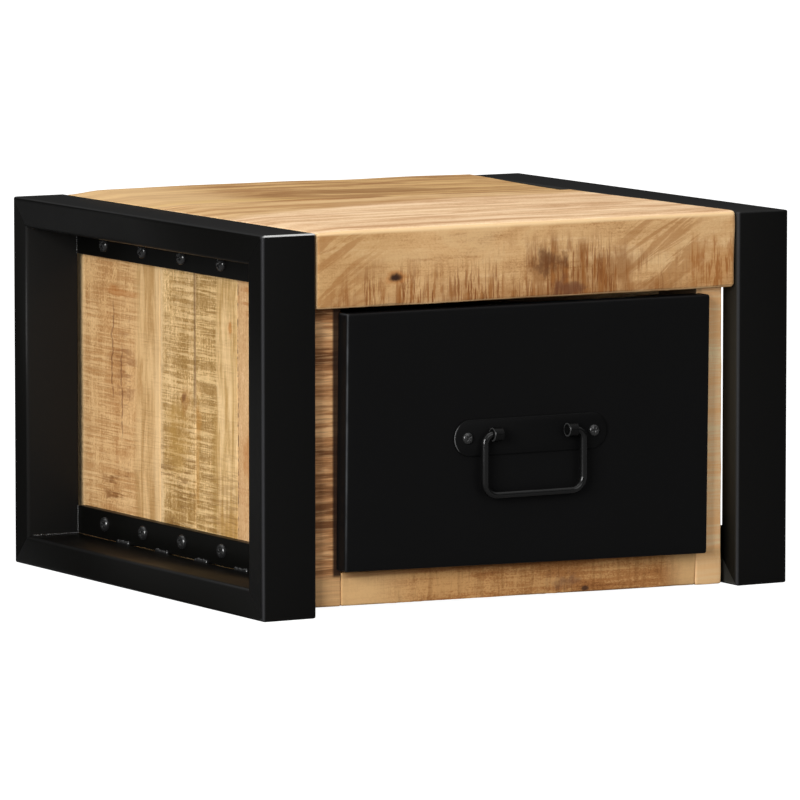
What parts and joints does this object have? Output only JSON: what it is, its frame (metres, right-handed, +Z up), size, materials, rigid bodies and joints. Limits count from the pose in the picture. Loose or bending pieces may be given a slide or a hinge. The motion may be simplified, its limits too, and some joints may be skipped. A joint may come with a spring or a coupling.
{
  "type": "side table with drawer",
  "caption": "Low side table: a rough wooden case with a thick top held between two closed black steel side frames, with a steel-faced drawer and a drop bail handle.",
  "frame": {"origin": "on the floor, under the middle of the whole table's box, handle included", "axes": "+X to the table's right seen from the front, +Y to the back, +Z up; the drawer opens along -Y"},
  "size_m": [0.4, 0.3604, 0.251],
  "materials": {
    "black_frame": "satin black powder coat, a little brighter on worn edges",
    "black_drawer_front": "smooth satin black lacquer on sheet steel",
    "black_handle": "semi-gloss black lacquer on forged steel",
    "black_screws": "blackened steel screw heads",
    "zinc_screws": "zinc-plated wood screws",
    "mango_top": "rough-sawn mango boards, clear waxed, with saw marks, brown stains and small knots",
    "mango_case": "rough-sawn mango boards, clear waxed, with saw marks across the grain",
    "drawer_wood": "plain planed wood, unfinished"
  },
  "bodies": {
    "root": {"back_panel": "mango_case", "back_panel_screws": "zinc_screws", "bottom_board": "mango_case", "cleat_screws": "zinc_screws", "left_bottom_flange": "black_frame", "left_bottom_flange_screws": "black_screws", "left_bottom_rail": "black_frame", "left_front_leg": "black_frame", "left_kicker": "drawer_wood", "left_rear_leg": "black_frame", "left_side_panel": "mango_case", "left_top_cleat": "drawer_wood", "left_top_flange": "black_frame", "left_top_flange_screws": "black_screws", "left_top_rail": "black_frame", "left_weld_beads": "black_frame", "right_bottom_flange": "black_frame", "right_bottom_flange_screws": "black_screws", "right_bottom_rail": "black_frame", "right_front_leg": "black_frame", "right_kicker": "drawer_wood", "right_rear_leg": "black_frame", "right_side_panel": "mango_case", "right_top_cleat": "drawer_wood", "right_top_flange": "black_frame", "right_top_flange_screws": "black_screws", "right_top_rail": "black_frame", "right_weld_beads": "black_frame", "top_back_board": "mango_top", "top_front_apron": "mango_top", "top_front_board": "mango_top"},
    "drawer": {"drawer_front_cover": "black_drawer_front", "drawer_front_core": "drawer_wood", "drawer_box_front": "drawer_wood", "drawer_left_side": "drawer_wood", "drawer_right_side": "drawer_wood", "drawer_back": "drawer_wood", "drawer_bottom": "drawer_wood", "drawer_front_screws": "zinc_screws", "handle_plate": "black_handle", "handle_left_post": "black_handle", "handle_right_post": "black_handle", "handle_screws": "black_screws"},
    "handle": {"handle_bail": "black_handle"}
  },
  "joints": [
    {"name": "drawer_slide", "type": "slide", "parent": "root", "child": "drawer", "axis": [0, -1, 0], "range_m": [0, 0.24]},
    {"name": "handle_swing", "type": "hinge", "parent": "drawer", "child": "handle", "pos_m": [0, -0.17535, 0.113], "axis": [-1, 0, 0], "range_deg": [0, 175]}
  ]
}
